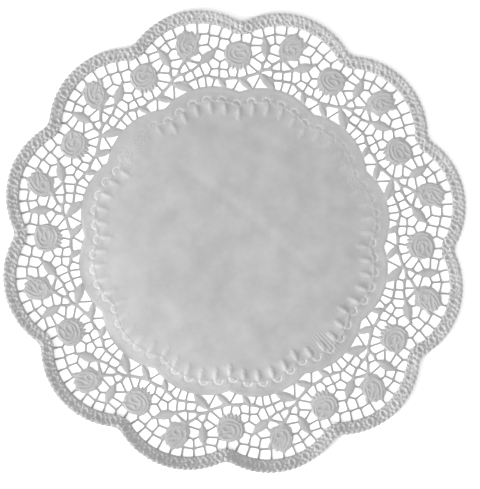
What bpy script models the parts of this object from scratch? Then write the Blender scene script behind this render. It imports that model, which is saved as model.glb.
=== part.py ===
"""Round lace doily of die-cut, embossed paper, lying flat with its underside at z = 0.

A plain disc with a ring of pressed pleats sits inside a net of bars, roses, leaves and
stems, and a ribbed rim of twelve lobes closes the edge. It is one sheet, so one solid.
The origin is the middle of the underside and +Z is up. Lengths here are millimetres and
become metres when the mesh is made.

One repeat of the lace is charted by polar places: a turn in degrees, clockwise from a
notch between two lobes, and a radius. The twelve repeats are alike.
"""

import math
from collections import namedtuple

import bpy
import numpy as np
from mathutils.geometry import delaunay_2d_cdt

# Driving dimensions
SHEET = 1.0  # thickness of the flat sheet under the relief
REPEATS = 12
FIRST_NOTCH = 28.0  # degrees from +X to a notch

# Lobed outlines are arcs centred on the lobes' axes: radius of the arc, and of its centre
RIM_ARC = 60.5
RIM_MIDDLE = 119.5
RIM_NOTCH = 168.8  # the outer edge comes in no further than this
RIM_INNER_ARC = 52.3
RIM_INNER_MIDDLE = 117.6
RIM_NOTCH_INSIDE = 159.0  # and the rim's inner edge no further than this
DISC_ARC = 49.0
DISC_MIDDLE = 71.6

BAR_WIDTH = 1.25  # thin bars of the net
CORNER = 0.45  # softness of the gaps' corners
GAPS_CUT = 25  # of each repeat, the largest first
GAP_RAYS = 48
GAP_WALK = 80  # steps outward along each ray
GAP_TOLERANCE = 0.55
STEM_STEPS = 3  # straight runs between two places of a stem

# Heights of the relief over the sheet
RIB_HEIGHT = 0.7
RIB_VALLEY = 0.35
ROSE_HEIGHT = 0.8
LEAF_HEIGHT = 0.5
PLEAT_HEIGHT = 0.6
STRING_HEIGHT = 0.4

RIM_STEPS = 16  # points along a lobe, which make eight ribs
PLEATS = 5  # in each repeat
PLEAT_LENGTH = 12.0
PLEAT_WIDTH = 4.8
PLEAT_CREST = (0.3, 0.7)  # shares of its length between which a pleat is highest
STRING_INSET = 10.8  # from the disc's edge in to the string of beads
STRING_HALF = 2.2

PITCH = 360.0 / REPEATS  # degrees in a repeat
PEAK = PITCH / 2  # turn of a lobe's peak
MM = 0.001
SAME_PLACE = 1e-6  # millimetres
ALL_TRIANGLES = 0  # of the points' hull, each with the outlines that it lies in
SHARP = 40.0  # degrees between faces whose edge is drawn sharp

PAPER_COLOUR = (0.62, 0.62, 0.62, 1.0)
PAPER_ROUGHNESS = 0.75

# Rose: half sizes across and along, degrees that it leans clockwise, and how much narrower it is
# at its outer end and taller at its clockwise side
Rose = namedtuple("Rose", "turn radius across along lean narrow skew")
ROSES = (
    Rose(-0.9, 143.6, 10.9, 9.9, 0.0, 0.0, 0.1),
    Rose(14.5, 154.8, 9.0, 10.5, 8.0, 0.14, 0.0),
)
ROSE_SQUARENESS = 2.5  # 2 is an ellipse

# Ring of a rose's dome: its share of the rose's size, how many points, and its share of the height
Ring = namedtuple("Ring", "size count height")
ROSE_RINGS = (Ring(0.55, 5, 0.8), Ring(0.88, 7, 0.0))

# Leaf: a pointed oval from its base to its tip
Leaf = namedtuple("Leaf", "base_turn base_radius tip_turn tip_radius width")
LEAVES = (
    Leaf(7.8, 142.0, 6.7, 157.8, 6.9),
    Leaf(16.9, 138.6, 22.4, 147.1, 7.3),
    Leaf(6.6, 130.1, 13.0, 120.5, 6.9),
    Leaf(22.4, 126.0, 25.0, 118.0, 4.6),
    Leaf(-0.5, 125.0, 4.7, 117.4, 5.2),
)
MIDRIB = (0.25, 0.5, 0.75)  # shares of a leaf's length at which its midrib is raised
LEAF_SIDE = 0.42  # share of a leaf's width from its midrib to its level sides

# Stem: a width and the places that its curve runs through
Stem = namedtuple("Stem", "width places")
STEMS = (
    Stem(1.3, ((10.4, 128.4), (12.0, 127.0), (15.0, 128.2), (18.0, 128.7), (21.0, 126.8))),
    Stem(1.4, ((21.0, 126.8), (24.0, 124.9), (27.0, 124.6), (30.0, 125.2), (33.0, 127.6), (36.3, 130.8))),
    Stem(1.3, ((6.3, 130.8), (8.0, 132.8), (10.5, 134.1), (13.5, 134.7), (15.4, 136.4), (17.5, 139.2))),
    Stem(1.3, ((6.3, 130.8), (7.0, 134.0), (7.4, 138.0), (7.9, 142.0))),
    Stem(1.3, ((8.6, 133.4), (9.6, 136.1), (10.9, 139.2), (12.3, 142.3), (13.0, 145.5))),
    Stem(1.2, ((12.8, 143.4), (15.1, 140.9), (17.3, 139.3))),
    Stem(1.6, ((22.0, 146.6), (22.6, 149.0))),
)

# Centres of the gaps along the rim, and of those in the net
RIM_GAPS = (
    (1.5, 155.5), (4.5, 159.9), (7.35, 163.0), (10.4, 165.2), (13.4, 166.4), (16.5, 166.4), (19.75, 165.2),
    (22.9, 162.7), (25.6, 159.5), (28.5, 155.4),
)
NET_GAPS = (
    # beside the lobe's rose and the leaf at its left
    (4.3, 154.0), (4.5, 147.7), (8.3, 156.6), (10.5, 158.4), (10.0, 150.2), (9.6, 142.0), (6.2, 142.0),
    # between the lobe's rose and the next notch
    (19.4, 155.8), (22.0, 153.5), (25.0, 151.0), (19.4, 148.3), (16.0, 143.6), (23.4, 142.5),
    # over the vine
    (5.1, 136.6), (8.6, 137.4), (11.6, 137.0), (14.4, 138.8), (3.3, 130.5), (9.1, 131.3), (12.9, 130.9),
    (15.8, 132.3), (18.7, 133.9), (21.5, 136.6), (24.9, 134.8), (21.3, 129.5), (24.4, 128.8), (27.3, 130.5),
    (0.9, 129.0),
    # between the vine and the disc
    (0.1, 117.5), (4.5, 124.4), (7.6, 122.0), (13.5, 123.6), (16.6, 123.9), (19.1, 123.7), (21.7, 121.1),
    (26.8, 121.2),
)


def spot(turn, radius):
    """The plane point of a polar place, in a frame whose +X runs through the first notch."""
    angle = math.radians(-turn)
    return np.array((math.cos(angle), math.sin(angle))) * radius


def turned(points, degrees):
    angle = math.radians(degrees)
    across, along = math.cos(angle), math.sin(angle)
    return np.asarray(points) @ np.array(((across, along), (-along, across)))


def lobed_radius(turn, middle, arc):
    """Radius of a lobed outline: arcs centred on the lobes' axes, which meet at the notches."""
    offset = math.radians(turn % PITCH - PEAK)
    return middle * math.cos(offset) + math.sqrt(arc**2 - (middle * math.sin(offset)) ** 2)


def smooth_curve(points, steps):
    """A curve through the points, as short straight runs."""
    ends = [2 * points[0] - points[1], *points, 2 * points[-1] - points[-2]]
    run = []
    for a, b, c, d in zip(ends, ends[1:], ends[2:], ends[3:]):
        for t in np.arange(steps) / steps:
            bend = (2 * a - 5 * b + 4 * c - d) * t**2 + (3 * b - a - 3 * c + d) * t**3
            run.append(b + (c - a) * t / 2 + bend / 2)
    return np.array([*run, points[-1]])


def leaf_arcs(base, tip, width):
    """Centres and radius of the two arcs that bound a leaf."""
    length = np.linalg.norm(tip - base)
    radius = (length**2 / 4 + width**2 / 4) / width
    side = np.array((base[1] - tip[1], tip[0] - base[0])) / length
    middle = (base + tip) / 2
    return middle + side * (radius - width / 2), middle - side * (radius - width / 2), radius


def rim_outer(turn):
    return max(lobed_radius(turn, RIM_MIDDLE, RIM_ARC), RIM_NOTCH)


def rim_inner(turn):
    return max(lobed_radius(turn, RIM_INNER_MIDDLE, RIM_INNER_ARC), RIM_NOTCH_INSIDE)


def string_radius(turn):
    return lobed_radius(turn, DISC_MIDDLE, DISC_ARC) - STRING_INSET


def gap_centres():
    return np.array([spot(*place) for place in (*RIM_GAPS, *NET_GAPS)])


def with_neighbours(points):
    """The points of one repeat, then those of the repeats on its two sides."""
    return np.concatenate([turned(points, turn) for turn in (0.0, PITCH, -PITCH)])


def rose_room(points, centre, turn, rose):
    """How far each point is outside a rose."""
    along, across = (turned(points - centre, turn) / (rose.along, rose.across)).T
    narrowed = across / (1 - rose.narrow * along.clip(-1, 1))
    skewed = along / (1 - rose.skew * across.clip(-1, 1))
    size = (np.abs((narrowed, skewed)) ** ROSE_SQUARENESS).sum(axis=0) ** (1 / ROSE_SQUARENESS)
    return (size - 1) * min(rose.along, rose.across)


class Lace:
    """What bounds the gaps of one repeat: rim, disc, roses, leaves, stems and bars."""

    def __init__(self):
        self.centres = with_neighbours(gap_centres())
        self.lobes = with_neighbours(spot(PEAK, RIM_INNER_MIDDLE)[None])
        self.disc_lobes = with_neighbours(spot(PEAK, DISC_MIDDLE)[None])
        self.roses, self.leaves, self.stems = [], [], []
        for t in (0.0, PITCH, -PITCH):
            for rose in ROSES:
                self.roses.append((turned(spot(rose.turn, rose.radius), t), rose.turn + rose.lean - t, rose))
            for leaf in LEAVES:
                ends = (spot(leaf.base_turn, leaf.base_radius), spot(leaf.tip_turn, leaf.tip_radius))
                self.leaves.append(leaf_arcs(*turned(ends, t), leaf.width))
            for stem in STEMS:
                run = smooth_curve([spot(*place) for place in stem.places], STEM_STEPS)
                self.stems.append((turned(run, t), stem.width / 2))

    def room(self, points, own):
        """How far each point is from what bounds gap number own, and less than 0 past it."""
        inside_lobe = RIM_INNER_ARC - np.linalg.norm(points[:, None] - self.lobes, axis=2).min(axis=1)
        far = [np.maximum(inside_lobe, RIM_NOTCH_INSIDE - np.linalg.norm(points, axis=1))]
        far.append(np.linalg.norm(points[:, None] - self.disc_lobes, axis=2).min(axis=1) - DISC_ARC)
        far.extend(rose_room(points, *rose) for rose in self.roses)
        for one, other, radius in self.leaves:
            from_one = np.linalg.norm(points - one, axis=1)
            from_other = np.linalg.norm(points - other, axis=1)
            far.append(np.maximum(from_one, from_other) - radius)
        for run, half in self.stems:
            start, step = run[:-1], np.diff(run, axis=0)
            along = ((points[:, None] - start) * step).sum(axis=2) / (step**2).sum(axis=1)
            nearest = start + np.clip(along, 0, 1)[:, :, None] * step
            far.append(np.linalg.norm(points[:, None] - nearest, axis=2).min(axis=1) - half)
        others = np.delete(self.centres, own, axis=0)
        apart = others - self.centres[own]
        middle = (others + self.centres[own]) / 2
        beyond = ((middle - points[:, None]) * apart).sum(axis=2) / np.linalg.norm(apart, axis=1)
        far.extend((beyond - BAR_WIDTH / 2).T)
        return -CORNER * np.log(np.exp(-np.array(far) / CORNER).sum(axis=0))

    def gap(self, own):
        """The gap's outline, found by walking out from its centre on evenly turned rays."""
        angles = np.arange(GAP_RAYS) * math.tau / GAP_RAYS
        rays = np.column_stack((np.cos(angles), np.sin(angles)))
        reach = np.zeros(GAP_RAYS)
        for _ in range(GAP_WALK):
            reach += self.room(self.centres[own] + rays * reach[:, None], own)
        return self.centres[own] + rays * reach[:, None]


def area(outline):
    x, y = outline.T
    return abs(x @ np.roll(y, -1) - y @ np.roll(x, -1)) / 2


def kept_between(points, first, last):
    """Which points between two others keep the run within the tolerance."""
    run = points[last] - points[first]
    between = points[first + 1:last] - points[first]
    if len(between) == 0:
        return []
    off = np.abs(between[:, 0] * run[1] - between[:, 1] * run[0]) / np.linalg.norm(run)
    if off.max() < GAP_TOLERANCE:
        return []
    worst = first + 1 + int(off.argmax())
    return [*kept_between(points, first, worst), worst, *kept_between(points, worst, last)]


def thinned(outline):
    """The outline with only the points that its shape needs."""
    start = int(np.linalg.norm(outline - outline.mean(axis=0), axis=1).argmax())
    ring = np.roll(outline, -start, axis=0)
    ring = np.concatenate((ring, ring[:1]))
    half = int(np.linalg.norm(ring - ring[0], axis=1).argmax())
    end = len(ring) - 1
    return ring[[0, *kept_between(ring, 0, half), half, *kept_between(ring, half, end)]]


def cut_gaps():
    """Outlines of one repeat's largest gaps, each anticlockwise."""
    lace = Lace()
    outlines = [lace.gap(own) for own in range(len(lace.centres) // 3)]
    outlines.sort(key=area, reverse=True)
    return [thinned(outline) for outline in outlines[:GAPS_CUT]]


def lobe_outline():
    turns = np.arange(RIM_STEPS) * PITCH / RIM_STEPS
    return np.array([spot(turn, rim_outer(turn)) for turn in turns])


# Relief: each function lists places of one repeat with their height over the sheet
def rim_relief():
    points = []
    for i in range(RIM_STEPS):
        turn = (i + 0.5) * PITCH / RIM_STEPS
        middle = (rim_outer(turn) + rim_inner(turn)) / 2
        points.append((*spot(turn, middle), RIB_VALLEY if i % 2 else RIB_HEIGHT))
    return points


def rose_relief():
    """Each rose is a low dome with its edge level with the sheet."""
    points = []
    for rose in ROSES:
        centre = spot(rose.turn, rose.radius)
        points.append((*centre, ROSE_HEIGHT))
        for ring in ROSE_RINGS:
            for i in range(ring.count):
                angle = math.tau * i / ring.count
                local = np.array((rose.along * math.cos(angle), rose.across * math.sin(angle))) * ring.size
                place = centre + turned(local, -rose.turn - rose.lean)
                points.append((*place, ring.height * ROSE_HEIGHT))
    return points


def leaf_relief():
    """Each leaf has a raised midrib, and its sides are level with the sheet."""
    points = []
    for leaf in LEAVES:
        base, tip = spot(leaf.base_turn, leaf.base_radius), spot(leaf.tip_turn, leaf.tip_radius)
        axis = tip - base
        side = np.array((-axis[1], axis[0])) / np.linalg.norm(axis) * leaf.width * LEAF_SIDE
        for share in MIDRIB:
            points.append((*(base + axis * share), LEAF_HEIGHT))
        for edge in (side, -side):
            points.append((*(base + axis / 2 + edge), 0.0))
    return points


def pleat_relief():
    """Drops that hang inward from the string, raised along their middles."""
    points = []
    for i in range(PLEATS):
        turn = i * PITCH / PLEATS
        top = string_radius(turn)
        for share in PLEAT_CREST:
            points.append((*spot(turn, top - share * PLEAT_LENGTH), PLEAT_HEIGHT))
        points.append((*spot(turn, top - PLEAT_LENGTH), 0.0))
        half_turn = math.degrees(PLEAT_WIDTH / 2 / top)
        for edge in (-half_turn, half_turn):
            points.append((*spot(turn + edge, top - PLEAT_LENGTH / 2), 0.0))
    return points


def string_relief():
    points = []
    for i in range(2 * PLEATS):
        turn = i * PITCH / (2 * PLEATS)
        radius = string_radius(turn)
        points.append((*spot(turn, radius), STRING_HEIGHT))
        points.append((*spot(turn, radius + STRING_HALF), 0.0))
    return points


def all_round(points):
    """The plane points of one repeat, and the other repeats in turn round the doily."""
    return [turned(points, FIRST_NOTCH - PITCH * repeat) for repeat in range(REPEATS)]


def triangles(points, outlines):
    """Triangles between the points, inside the first outline and outside the others."""
    faces = [ring.tolist() for ring in outlines]
    edges = [edge for ring in faces for edge in zip(ring, ring[1:] + ring[:1])]
    meshed = delaunay_2d_cdt([tuple(point) for point in points], edges, faces, ALL_TRIANGLES, SAME_PLACE)
    _, _, found, origins, _, inside = meshed
    return [[origins[corner][0] for corner in face] for face, where in zip(found, inside) if where == [0]]


def doily_mesh():
    rim = np.concatenate(all_round(lobe_outline()))[::-1]
    gaps = [ring for gap in cut_gaps() for ring in all_round(gap)]
    relief = np.array([*rim_relief(), *rose_relief(), *leaf_relief(), *pleat_relief(), *string_relief()])
    raised = np.concatenate(all_round(relief[:, :2]))
    heights = np.tile(relief[:, 2], REPEATS)

    edge = np.concatenate((rim, *gaps))
    starts = np.cumsum([0, len(rim), *(len(gap) for gap in gaps)])
    outlines = [np.arange(a, b) for a, b in zip(starts, starts[1:])]
    count = len(edge)

    under = np.column_stack((edge, np.zeros(count)))
    over = np.column_stack((edge, np.full(count, SHEET)))
    relief_points = np.column_stack((raised, SHEET + heights))
    points = np.concatenate((under, over, relief_points)) * MM

    faces = [face[::-1] for face in triangles(edge, outlines)]
    top = triangles(np.concatenate((edge, raised)), outlines)
    faces.extend([[corner + count for corner in face] for face in top])
    for ring in (outlines[0], *(outline[::-1] for outline in outlines[1:])):
        for a, b in zip(ring.tolist(), np.roll(ring, -1).tolist()):
            faces.append([a, b, b + count, a + count])
    return points, faces


def paper():
    material = bpy.data.materials.new("white embossed paper")
    material.use_nodes = True
    shader = material.node_tree.nodes["Principled BSDF"]
    shader.inputs["Base Color"].default_value = PAPER_COLOUR
    shader.inputs["Roughness"].default_value = PAPER_ROUGHNESS
    shader.inputs["Metallic"].default_value = 0.0
    return material


def make_doily():
    points, faces = doily_mesh()
    mesh = bpy.data.meshes.new("doily")
    mesh.from_pydata(points.tolist(), [], faces)
    mesh.shade_smooth()
    mesh.set_sharp_from_angle(angle=math.radians(SHARP))
    mesh.materials.append(paper())
    doily = bpy.data.objects.new("doily", mesh)
    bpy.context.collection.objects.link(doily)


def main():
    for old in list(bpy.data.objects):
        bpy.data.objects.remove(old, do_unlink=True)
    make_doily()


main()
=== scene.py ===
"""Embossed paper doily, laid flat: one sheet with a lace net, roses, pleats and a beaded rim.

The lace is laid out in millimetres, as a die maker would chart it, and becomes metres when the mesh is
made. One repeat is charted by polar places: a turn in degrees, clockwise from a notch between two lobes,
and a radius. A plain floor, soft light and a camera straight above go with it.
"""

import math
from collections import namedtuple
from functools import partial

import bpy
import numpy as np
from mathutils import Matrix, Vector
from mathutils.geometry import delaunay_2d_cdt


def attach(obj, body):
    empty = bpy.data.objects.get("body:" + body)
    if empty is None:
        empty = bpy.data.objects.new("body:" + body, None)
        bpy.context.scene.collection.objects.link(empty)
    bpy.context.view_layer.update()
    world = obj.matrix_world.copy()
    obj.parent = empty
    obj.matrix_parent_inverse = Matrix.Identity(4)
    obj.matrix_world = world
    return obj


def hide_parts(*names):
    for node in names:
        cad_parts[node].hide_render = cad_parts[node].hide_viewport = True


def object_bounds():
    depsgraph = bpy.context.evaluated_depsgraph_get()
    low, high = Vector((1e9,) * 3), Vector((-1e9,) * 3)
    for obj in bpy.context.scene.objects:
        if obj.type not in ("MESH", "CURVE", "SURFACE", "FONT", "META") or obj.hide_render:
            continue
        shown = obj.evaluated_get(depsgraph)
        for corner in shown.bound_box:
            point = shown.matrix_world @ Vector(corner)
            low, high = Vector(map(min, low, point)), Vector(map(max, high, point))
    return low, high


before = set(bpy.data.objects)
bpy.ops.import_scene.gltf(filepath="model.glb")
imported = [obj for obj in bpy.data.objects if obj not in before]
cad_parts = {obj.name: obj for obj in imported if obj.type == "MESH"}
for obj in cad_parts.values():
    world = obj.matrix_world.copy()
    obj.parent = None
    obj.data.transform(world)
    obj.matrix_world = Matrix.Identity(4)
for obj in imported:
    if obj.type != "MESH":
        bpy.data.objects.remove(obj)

bl_info = {
    "name": "Embossed Paper Doily",
    "version": (1, 0, 0),
    "blender": (4, 5, 0),
    "location": "View3D > Sidebar > Doily",
    "description": "Makes a die-cut, embossed paper doily and a plain stage for it",
    "category": "Add Mesh",
}

CAD_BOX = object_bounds()

# Layout of one repeat: sizes in millimetres, turns in degrees
REPEATS = 12
PITCH = 360.0 / REPEATS
PEAK = PITCH / 2
NEIGHBOURS = (0.0, PITCH, -PITCH)  # turns from a repeat to itself and to those on its two sides
FIRST_NOTCH = 28.0  # degrees from +X to a notch

RIM_ARC = 60.5  # radius of a lobe's arc
RIM_MIDDLE = 119.5  # radius at which that arc is centred
RIM_NOTCH = 168.8  # the rim's outer edge comes in no further than this
RIM_INNER_ARC = 52.3
RIM_INNER_MIDDLE = 117.6
RIM_NOTCH_INSIDE = 159.0  # the rim's inner edge comes in no further than this
DISC_ARC = 49.0
DISC_MIDDLE = 71.6
WIDTH = 2 * (RIM_MIDDLE * math.cos(math.radians(FIRST_NOTCH - PEAK)) + RIM_ARC)
MM = (CAD_BOX[1].x - CAD_BOX[0].x) / WIDTH  # metres in a millimetre of the layout

# Rose: half sizes across and along, degrees that it leans clockwise, how much narrower it is at its outer end
# and taller at its clockwise side, and the folds between its petals, each a curve through places in
# millimetres: clockwise of the rose's middle, and outward of it
Rose = namedtuple("Rose", "turn radius across along lean narrow skew folds")
OPEN_ROSE_FOLDS = (
    ((-3.2, 6.2), (-5.8, 4.2), (-6.8, 0.8), (-5.6, -2.6), (-2.6, -4.4)),
    ((-1.8, 4.6), (-3.2, 2.0), (-2.4, -1.0), (-0.4, -2.6)),
    ((-2.4, 7.0), (0.6, 7.9), (4.6, 7.8), (7.6, 5.6)),
    ((-0.8, 4.8), (1.4, 3.7), (4.0, 4.3), (6.2, 6.0)),
    ((-0.6, 0.4), (2.2, 1.8), (4.8, 1.4), (6.4, -0.4)),
    ((-1.6, -4.2), (1.8, -5.0), (5.2, -3.7), (7.6, -1.0), (8.4, 3.0)),
    ((-6.4, -4.6), (-2.8, -7.2), (2.6, -7.9), (7.0, -5.4)),
    ((-8.2, 4.6), (-9.0, 0.6), (-8.2, -3.2)),
    ((9.0, 5.6), (9.8, 1.2), (8.9, -3.4)),
    ((0.8, -2.4), (3.2, -2.9), (5.6, -1.9)),
)
BUD_ROSE_FOLDS = (
    ((-4.0, -7.1), (-6.2, -3.9), (-6.4, 0.3), (-4.8, 4.6), (-1.8, 8.6)),
    ((-2.3, -3.0), (-3.4, -0.6), (-2.8, 2.6), (-0.8, 5.6), (1.4, 8.2)),
    ((-1.8, 0.2), (1.6, 1.9), (4.8, 4.2), (7.4, 6.2)),
    ((3.1, -0.7), (0.2, -0.6), (-1.7, -2.3), (-1.4, -4.6), (1.4, -5.4), (3.8, -3.6), (3.1, -0.7)),
    ((7.8, 4.4), (7.4, 0.8), (5.9, -3.4), (2.6, -6.8), (-1.4, -8.1)),
    ((0.9, 5.0), (3.0, 7.4)),
    ((-7.6, -1.6), (-7.9, 2.2), (-6.4, 5.6)),
    ((4.9, -0.6), (5.6, 1.6), (7.0, 3.4)),
    ((-3.2, -6.1), (0.6, -7.0), (3.6, -5.6)),
)
ROSES = (
    Rose(-0.9, 143.6, 10.9, 9.9, 0.0, 0.0, 0.1, OPEN_ROSE_FOLDS),
    Rose(14.5, 154.8, 9.0, 10.5, 8.0, 0.14, 0.0, BUD_ROSE_FOLDS),
)
ROSE_SQUARENESS = 2.5  # 2 is an ellipse
PETALS = 8  # that scallop a rose's edge
PETAL_SCALLOP = 0.07
ROSE_RISE = 0.25
ROSE_SLOPE = 1.2  # width over which a rose rises from its edge
FOLD_RISE = 0.28
FOLD_HALF = 0.65

# Leaf: a pointed oval from its base to its tip
Leaf = namedtuple("Leaf", "base_turn base_radius tip_turn tip_radius width")
LEAVES = (
    Leaf(7.8, 142.0, 6.7, 157.8, 6.9),
    Leaf(16.9, 138.6, 22.4, 147.1, 7.3),
    Leaf(6.6, 130.1, 13.0, 120.5, 6.9),
    Leaf(22.4, 126.0, 25.0, 118.0, 4.6),
    Leaf(-0.5, 125.0, 4.7, 117.4, 5.2),
)
SEPALS = (
    Leaf(-3.3, 139.0, -4.0, 132.9, 2.4),
    Leaf(-2.2, 138.0, -2.6, 131.4, 2.4),
    Leaf(-1.1, 138.0, -1.3, 131.0, 2.4),
    Leaf(0.0, 138.0, 0.1, 131.2, 2.4),
    Leaf(1.0, 138.0, 1.3, 132.2, 2.4),
    Leaf(12.7, 142.4, 13.8, 150.0, 4.4),
    Leaf(14.5, 160.0, 14.6, 166.4, 3.4),
    Leaf(16.0, 158.0, 16.6, 164.4, 3.0),
    Leaf(17.3, 155.0, 18.6, 161.4, 3.0),
)
LEAF_RISE = 0.3
LEAF_SLOPE = 0.9
MIDRIB_RISE = 0.1
MIDRIB_HALF = 0.8
VEIN_DEPTH = 0.08
VEIN_PITCH = 1.9

# Stem: a width and the places that its curve runs through
Stem = namedtuple("Stem", "width places")
STEMS = (
    Stem(1.3, ((10.4, 128.4), (12.0, 127.0), (15.0, 128.2), (18.0, 128.7), (21.0, 126.8))),
    Stem(1.4, ((21.0, 126.8), (24.0, 124.9), (27.0, 124.6), (30.0, 125.2), (33.0, 127.6), (36.3, 130.8))),
    Stem(1.3, ((6.3, 130.8), (8.0, 132.8), (10.5, 134.1), (13.5, 134.7), (15.4, 136.4), (17.5, 139.2))),
    Stem(1.3, ((6.3, 130.8), (7.0, 134.0), (7.4, 138.0), (7.9, 142.0))),
    Stem(1.3, ((8.6, 133.4), (9.6, 136.1), (10.9, 139.2), (12.3, 142.3), (13.0, 145.5))),
    Stem(1.2, ((12.8, 143.4), (15.1, 140.9), (17.3, 139.3))),
    Stem(1.6, ((22.0, 146.6), (22.6, 149.0))),
)
STEM_RISE = 0.3
STEM_RIDGE_HALF = 0.7

# Centres of the gaps along the rim, and of those in the net
RIM_GAPS = (
    (1.5, 155.5), (4.5, 159.9), (7.35, 163.0), (10.4, 165.2), (13.4, 166.4), (16.5, 166.4), (19.75, 165.2),
    (22.9, 162.7), (25.6, 159.5), (28.5, 155.4),
)
NET_GAPS = (
    # beside the lobe's rose and the leaf at its left
    (4.3, 154.0), (4.5, 147.7), (8.3, 156.6), (10.5, 158.4), (10.0, 150.2), (9.6, 142.0), (6.2, 142.0),
    # between the lobe's rose and the next notch
    (19.4, 155.8), (22.0, 153.5), (25.0, 151.0), (19.4, 148.3), (16.0, 143.6), (23.4, 142.5),
    # over the vine
    (5.1, 136.6), (8.6, 137.4), (11.6, 137.0), (14.4, 138.8), (3.3, 130.5), (9.1, 131.3), (12.9, 130.9),
    (15.8, 132.3), (18.7, 133.9), (21.5, 136.6), (24.9, 134.8), (21.3, 129.5), (24.4, 128.8), (27.3, 130.5),
    (0.9, 129.0),
    # between the vine and the disc
    (0.1, 117.5), (4.5, 124.4), (7.6, 122.0), (13.5, 123.6), (16.6, 123.9), (19.1, 123.7), (21.7, 121.1),
    (26.8, 121.2),
)
BAR_WIDTH = 1.25
GAP_CORNER = 0.25  # softness of the gaps' corners
GAP_REACH = 15.0  # nothing further from a gap's centre bounds it
GAP_RAYS = 72
GAP_STEPS = 50  # of the walk out along each ray, each as long as this share of the room left
GAP_PACE = 0.9
GAP_TOLERANCE = 0.08

# Rim: two rows of beads, with rings between them; it repeats by units round the lobe's own middle
RIM_UNIT = 12.0  # degrees
RIM_BEADS = 3  # in each unit
OUTER_BEADS = 58.7  # radius of their row
OUTER_BEAD_HALF = 2.0
INNER_BEADS = 51.5
INNER_BEAD_HALF = 1.7
RING_ROW = 55.0
RING_HALF = (2.5, 2.9)  # round the lobe and outward
RING_WALL = 0.45  # half the width of its wall, as a share of the ring
RING_HOLLOW = 0.7  # how far its hollow reaches, as a share of the ring
PAIR_SHIFT = 1.5  # from the row of rings to each of the two dots between them
PAIR_HALF = 1.5
RIM_START = 50.2  # radius at which the rim's relief starts, and that at which it is whole
RIM_WHOLE = 51.1
RIM_SCALLOP = 0.7
RIM_BASE = 0.36
BEAD_RISE = 0.8
RING_RISE = 0.72

# Pleats: twisted drops that hang inward from a string, each with an arch over it
PLEAT_STEP = 6.0
PLEAT_LENGTH = 12.0
PLEAT_WIDTH = 4.8
PLEAT_SIDES = 2.5  # powers that square off its sides and its ends
PLEAT_ENDS = 3.0
PLEAT_POWER = 0.3
PLEAT_SLOPE = 0.5  # share of a pleat over which it rises from its edge
PLEAT_RISE = 0.6
PLEAT_TAPER = 0.55  # how much lower a pleat is at its inner end
PLEAT_SHARE = 0.5  # how much a pleat's crest is painted lighter as a highlight, and stitched, next to an arch
TWIST_PITCH = 3.7
TWIST_DEPTH = 0.12
TWIST_SLANT = 0.7
STRING_INSET = 10.8  # from the disc's edge in to the string
STRING_RISE = 0.3
STRING_HALF = 1.0
HEM_INSET = 2.4  # from the disc's edge in to the crest of its raised hem
HEM_WALL = 0.6  # width of the hem's steeper side
HEM_RISE = 0.12
ARCH_SHIFT = -1.35  # degrees from a pleat to its arch
ARCH_RADIUS = 3.2
ARCH_HALF = 1.0
ARCH_FEET = 0.8  # from the string in to the ends of its feet
ARCH_DEPTH = 0.22
ARCH_STITCHES = 0.6
BAND_STITCHES = 0.3  # over the band of pleats where the press was light
BAND_START = 4.0  # from the string outward to that band
BAND_FADES = (2.0, 4.0)  # widths over which it fades, at its outer and inner edges

# How deep the pleats are pressed, by degrees from +X: the press was uneven
PRESS_DEGREES = (0, 20, 45, 62, 78, 108, 121, 128, 141, 149, 180, 205, 228, 245, 275, 345, 360)
PRESS_DEPTH = (0.75, 0.3, 0.35, 0.7, 1.0, 1.0, 0.8, 0.12, 0.1, 0.9, 1.0, 0.8, 0.6, 0.9, 1.3, 1.1, 0.75)

# Fine wrinkles beside the pleats: degrees from +X, and radii, in millimetres
WRINKLE_DEGREES = -48.0
WRINKLE_SPREAD = 7.0  # degrees to each side
WRINKLE_PITCH = 1.4  # degrees
WRINKLE_INNER = 90.0
WRINKLE_OUTER = 116.0
WRINKLE_FADES = (8.0, 4.0)
WRINKLE_RISE = 0.25

# Soft creases across the disc, from end to end, with half their width and their depth
Crease = namedtuple("Crease", "start end half depth")
CREASES = (
    Crease((-46.0, 61.0), (24.0, 11.5), 5.5, 0.25),
    Crease((8.0, 23.0), (66.0, -29.0), 5.5, 0.18),
    Crease((42.0, -4.0), (40.0, -52.0), 5.0, 0.13),
    Crease((56.0, -14.0), (64.0, -62.0), 6.0, 0.14),
    Crease((62.0, 64.0), (66.0, 8.0), 8.0, 0.16),
    Crease((6.0, 88.0), (60.0, 56.0), 9.0, 0.2),
    Crease((20.0, -58.0), (30.0, -92.0), 5.0, 0.14),
    Crease((-62.0, -36.0), (-34.0, -88.0), 9.0, 0.16),
)
CREASE_FADE = 14.0  # a crease deepens over this length from its ends
DISC_LIFT = 4.5  # the middle of the disc stands this much off the table
LIFTED = 118.0  # radius within which the disc is off the table
LIFT_TOWARDS = (-0.88, -0.47)  # the side where it falls more steeply
LIFT_LEAN = 0.6
NET_LIFT = 0.2  # the outside of the net stands this much off the table
NET_LIFTED = (130.0, 40.0)  # radius at which that starts, and the width over which it grows

# How much more the rim's outer edge curls up, by degrees from +X
CURL_DEGREES = (0, 45, 90, 135, 180, 225, 270, 315, 360)
CURL_HEIGHT = (0.4, 0.8, 1.7, 0.9, 0.8, 1.4, 3.3, 1.3, 0.4)

# The paper's look: sizes and depths in metres
PAPER_ROUGHNESS = 0.6
PAPER_IOR = 1.45
CLOUD_SIZE = 0.019
CLOUD_TONE = 0.1  # how much the clouds lighten and darken it
FIBRE_SIZE = 0.0009  # real fibre clumps are finer, and would not show
FIBRE_RISE = 0.00012
STITCH_SIZE = 0.0024
STITCH_RISE = 0.0004
MOTIF_STITCHES = 0.12  # how strongly stitches show on the motifs, next to the rim
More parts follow.
